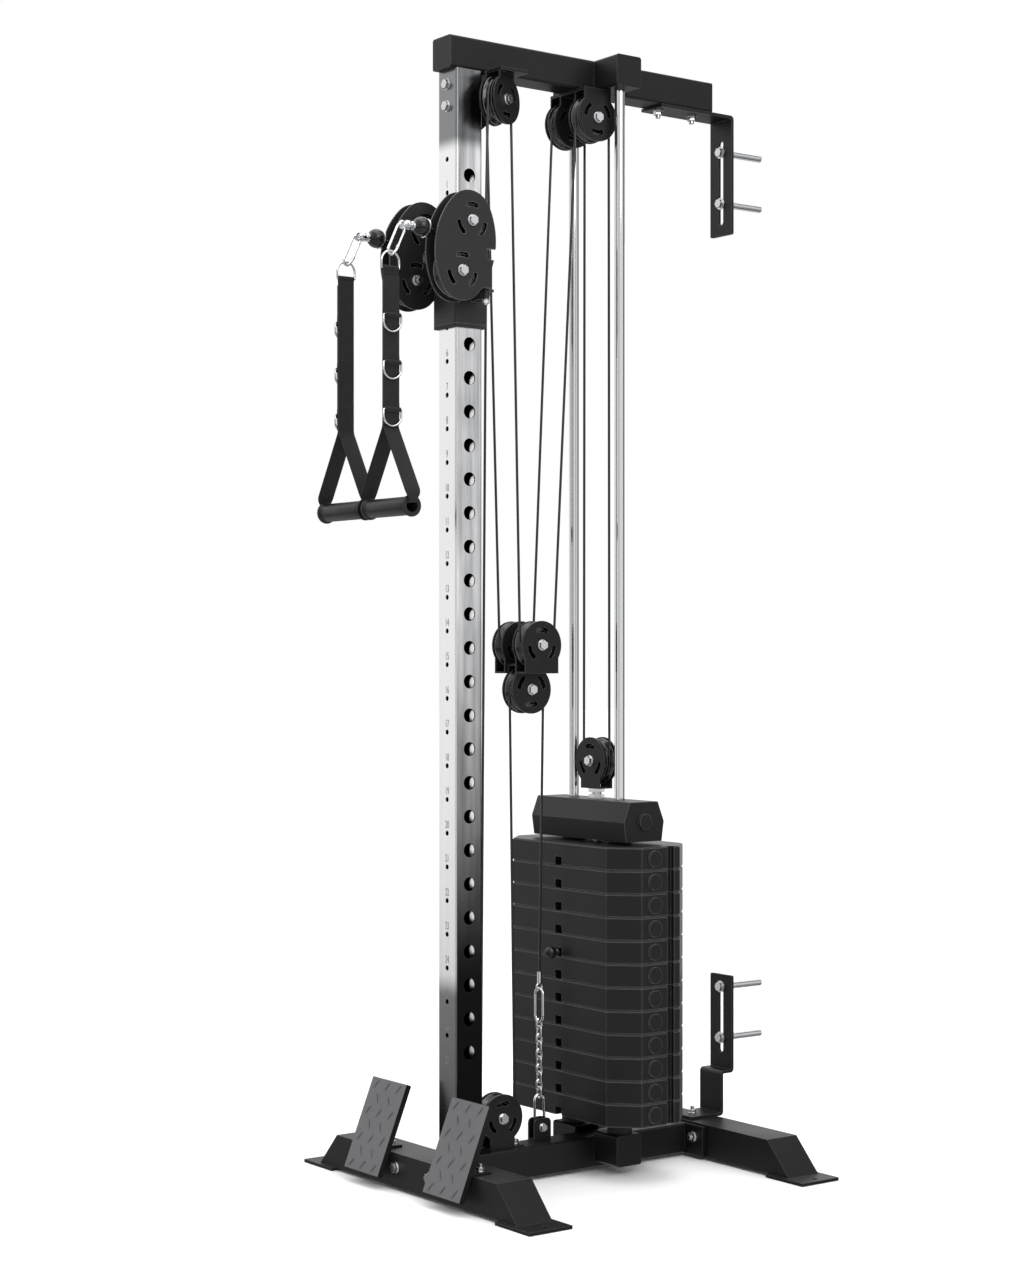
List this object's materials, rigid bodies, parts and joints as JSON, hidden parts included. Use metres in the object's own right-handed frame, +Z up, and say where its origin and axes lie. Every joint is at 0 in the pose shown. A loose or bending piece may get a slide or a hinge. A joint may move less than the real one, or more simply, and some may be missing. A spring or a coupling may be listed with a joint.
{
  "type": "wall-mounted cable machine",
  "caption": "Wall-mounted cable machine: a pinned weight stack on guide rods, cables over pulleys, swinging pulley arms on a sliding trolley, strap handles and foot plates.",
  "frame": {"origin": "on the floor, straight below the centre of the upright", "axes": "+X across the machine towards its right side as seen by someone who faces it, +Y from the user towards the wall, +Z up"},
  "size_m": [0.744, 0.982, 2.155],
  "materials": {
    "polished_post": "polished and brushed, nearly mirror-bright at the front",
    "chromed_rods": "hard-chromed and polished",
    "black_steel": "satin black powder coat",
    "tread_grey": "grey, with a pressed tread pattern",
    "zinc_bolts": "zinc-plated, bright",
    "chromed_fittings": "bright chrome",
    "pulley_nylon": "glossy black nylon",
    "cable_jacket": "smooth black nylon jacket",
    "weight_shell": "fine-textured black shell",
    "bumper_rubber": "matt black rubber",
    "webbing": "woven charcoal polyester",
    "grip_plastic": "satin black, hollow",
    "liner_plastic": "black slide plastic",
    "pin_steel": "black knob on a steel pin"
  },
  "bodies": {
    "frame": {"upright": "polished_post", "top_beam": "black_steel", "base_rail": "black_steel", "front_foot_beam": "black_steel", "rear_foot_beam": "black_steel", "foot_plates": "tread_grey", "upper_wall_bracket": "black_steel", "lower_wall_bracket": "black_steel", "frame_bolts": "zinc_bolts", "front_pulley_bracket": "black_steel", "rear_pulley_bracket": "black_steel", "base_pulley_bracket": "black_steel", "guide_rods": "chromed_rods", "stack_bumpers": "bumper_rubber", "fixed_plates": "weight_shell", "chain_anchor": "black_steel", "tension_chain": "chromed_fittings", "trolley_strands": "cable_jacket", "fixed_wraps": "cable_jacket", "block_upper_strands": "cable_jacket", "stack_strands": "cable_jacket", "trolley_tail_strand": "cable_jacket", "block_lower_strands": "cable_jacket"},
    "carriage": {"head_block": "weight_shell", "lifted_plates": "weight_shell", "lifting_stem": "chromed_fittings", "stack_pulley_bracket": "black_steel", "stack_wrap": "cable_jacket"},
    "selector_pin": {"selector_pin": "pin_steel"},
    "trolley": {"trolley_sleeve": "black_steel", "trolley_liners": "liner_plastic"},
    "lock_pin": {"lock_pin": "pin_steel"},
    "left_arm": {"left_arm": "black_steel", "left_arm_bolts": "zinc_bolts", "left_arm_wrap": "cable_jacket"},
    "right_arm": {"right_arm": "black_steel", "right_arm_bolts": "zinc_bolts", "right_arm_wrap": "cable_jacket"},
    "pulley_block": {"pulley_block": "black_steel", "pulley_block_bolts": "zinc_bolts", "block_wraps": "cable_jacket"},
    "left_cable_end": {"left_cable_end": "chromed_fittings"},
    "right_cable_end": {"right_cable_end": "chromed_fittings"},
    "left_handle": {"left_strap": "webbing"},
    "right_handle": {"right_strap": "webbing"},
    "left_grip": {"left_grip": "grip_plastic"},
    "right_grip": {"right_grip": "grip_plastic"},
    "front_left_pulley": {"front_left_pulley": "pulley_nylon"},
    "front_right_pulley": {"front_right_pulley": "pulley_nylon"},
    "rear_left_pulley": {"rear_left_pulley": "pulley_nylon"},
    "rear_right_pulley": {"rear_right_pulley": "pulley_nylon"},
    "block_left_pulley": {"block_left_pulley": "pulley_nylon"},
    "block_right_pulley": {"block_right_pulley": "pulley_nylon"},
    "block_lower_pulley": {"block_lower_pulley": "pulley_nylon"},
    "stack_pulley": {"stack_pulley": "pulley_nylon"},
    "base_pulley": {"base_pulley": "pulley_nylon"},
    "left_arm_upper_pulley": {"left_arm_upper_pulley": "pulley_nylon"},
    "left_arm_lower_pulley": {"left_arm_lower_pulley": "pulley_nylon"},
    "right_arm_upper_pulley": {"right_arm_upper_pulley": "pulley_nylon"},
    "right_arm_lower_pulley": {"right_arm_lower_pulley": "pulley_nylon"}
  },
  "joints": [
    {"name": "stack_lift", "type": "slide", "parent": "frame", "child": "carriage", "axis": [0, 0, 1], "range_m": [0, 1.1], "deforming": ["stack_strands"]},
    {"name": "selector_pull", "type": "slide", "parent": "carriage", "child": "selector_pin", "axis": [0, -1, 0], "range_m": [0, 0.075]},
    {"name": "trolley_slide", "type": "slide", "parent": "frame", "child": "trolley", "axis": [0, 0, 1], "range_m": [-1.008, 0.126], "deforming": ["trolley_strands", "trolley_tail_strand"]},
    {"name": "lock_pull", "type": "slide", "parent": "trolley", "child": "lock_pin", "axis": [0, -1, 0], "range_m": [-0.011, 0], "stiffness_N_per_m": 400, "springref_m": -0.05},
    {"name": "block_slide", "type": "slide", "parent": "frame", "child": "pulley_block", "axis": [0, 0, 1], "range_m": [-0.063, 0.504], "deforming": ["block_upper_strands", "block_lower_strands"]},
    {"name": "left_arm_swing", "type": "hinge", "parent": "trolley", "child": "left_arm", "pos_m": [-0.075, 0.005, 1.705], "axis": [0, 0, 1], "range_deg": [-110, 0]},
    {"name": "right_arm_swing", "type": "hinge", "parent": "trolley", "child": "right_arm", "pos_m": [0.075, 0.005, 1.705], "axis": [0, 0, 1], "range_deg": [0, 110]},
    {"name": "left_handle_pull", "type": "slide", "parent": "left_arm", "child": "left_cable_end", "axis": [0, -0.9774, 0.2113], "range_m": [0, 1.1]},
    {"name": "left_handle_swing", "type": "hinge", "parent": "left_cable_end", "child": "left_handle", "pos_m": [-0.075, -0.2061, 1.7235], "axis": [1, 0, 0], "range_deg": [-90, 12]},
    {"name": "left_grip_spin", "type": "hinge", "parent": "left_handle", "child": "left_grip", "pos_m": [-0.075, -0.206, 1.267], "axis": [1, 0, 0], "continuous": true},
    {"name": "right_handle_pull", "type": "slide", "parent": "right_arm", "child": "right_cable_end", "axis": [0, -0.9774, 0.2113], "range_m": [0, 1.1]},
    {"name": "right_handle_swing", "type": "hinge", "parent": "right_cable_end", "child": "right_handle", "pos_m": [0.075, -0.2061, 1.7235], "axis": [1, 0, 0], "range_deg": [-90, 12]},
    {"name": "right_grip_spin", "type": "hinge", "parent": "right_handle", "child": "right_grip", "pos_m": [0.075, -0.206, 1.267], "axis": [1, 0, 0], "continuous": true},
    {"name": "front_left_pulley_spin", "type": "hinge", "parent": "frame", "child": "front_left_pulley", "pos_m": [-0.0545, 0.0515, 2.039], "axis": [0.9242, -0.382, 0], "continuous": true},
    {"name": "rear_left_pulley_spin", "type": "hinge", "parent": "frame", "child": "rear_left_pulley", "pos_m": [-0.038, 0.286, 2.039], "axis": [1, 0, 0], "continuous": true},
    {"name": "block_left_pulley_spin", "type": "hinge", "parent": "pulley_block", "child": "block_left_pulley", "pos_m": [-0.033, 0.155, 1.02], "axis": [1, 0, 0], "continuous": true},
    {"name": "left_arm_upper_pulley_spin", "type": "hinge", "parent": "left_arm", "child": "left_arm_upper_pulley", "pos_m": [-0.075, -0.037, 1.8], "axis": [1, 0, 0], "continuous": true},
    {"name": "left_arm_lower_pulley_spin", "type": "hinge", "parent": "left_arm", "child": "left_arm_lower_pulley", "pos_m": [-0.075, -0.059, 1.706], "axis": [1, 0, 0], "continuous": true},
    {"name": "front_right_pulley_spin", "type": "hinge", "parent": "frame", "child": "front_right_pulley", "pos_m": [0.0545, 0.0515, 2.039], "axis": [0.9242, 0.382, 0], "continuous": true},
    {"name": "rear_right_pulley_spin", "type": "hinge", "parent": "frame", "child": "rear_right_pulley", "pos_m": [0.038, 0.286, 2.039], "axis": [1, 0, 0], "continuous": true},
    {"name": "block_right_pulley_spin", "type": "hinge", "parent": "pulley_block", "child": "block_right_pulley", "pos_m": [0.033, 0.155, 1.02], "axis": [1, 0, 0], "continuous": true},
    {"name": "right_arm_upper_pulley_spin", "type": "hinge", "parent": "right_arm", "child": "right_arm_upper_pulley", "pos_m": [0.075, -0.037, 1.8], "axis": [1, 0, 0], "continuous": true},
    {"name": "right_arm_lower_pulley_spin", "type": "hinge", "parent": "right_arm", "child": "right_arm_lower_pulley", "pos_m": [0.075, -0.059, 1.706], "axis": [1, 0, 0], "continuous": true},
    {"name": "stack_pulley_spin", "type": "hinge", "parent": "carriage", "child": "stack_pulley", "pos_m": [0, 0.326, 0.7945], "axis": [0, 1, 0], "continuous": true},
    {"name": "base_pulley_spin", "type": "hinge", "parent": "frame", "child": "base_pulley", "pos_m": [0, 0.087, 0.123], "axis": [1, 0, 0], "continuous": true},
    {"name": "block_lower_pulley_spin", "type": "hinge", "parent": "pulley_block", "child": "block_lower_pulley", "pos_m": [0, 0.155, 0.935], "axis": [1, 0, 0], "continuous": true}
  ],
  "couplings": [
    {"joint": "block_slide", "follows": "trolley_slide", "ratio": -0.5},
    {"joint": "left_handle_pull", "follows": "stack_lift", "ratio": 1},
    {"joint": "right_handle_pull", "follows": "stack_lift", "ratio": 1},
    {"joint": "front_left_pulley_spin", "follows": "stack_lift", "rad_per_m": 25},
    {"joint": "rear_left_pulley_spin", "follows": "stack_lift", "rad_per_m": 25},
    {"joint": "block_left_pulley_spin", "follows": "stack_lift", "rad_per_m": -25},
    {"joint": "left_arm_upper_pulley_spin", "follows": "stack_lift", "rad_per_m": -23.809},
    {"joint": "front_right_pulley_spin", "follows": "stack_lift", "rad_per_m": 25},
    {"joint": "rear_right_pulley_spin", "follows": "stack_lift", "rad_per_m": 25},
    {"joint": "block_right_pulley_spin", "follows": "stack_lift", "rad_per_m": -25},
    {"joint": "right_arm_upper_pulley_spin", "follows": "stack_lift", "rad_per_m": -23.809},
    {"joint": "base_pulley_spin", "follows": "trolley_slide", "rad_per_m": -25},
    {"joint": "block_lower_pulley_spin", "follows": "trolley_slide", "rad_per_m": 12.5}
  ]
}
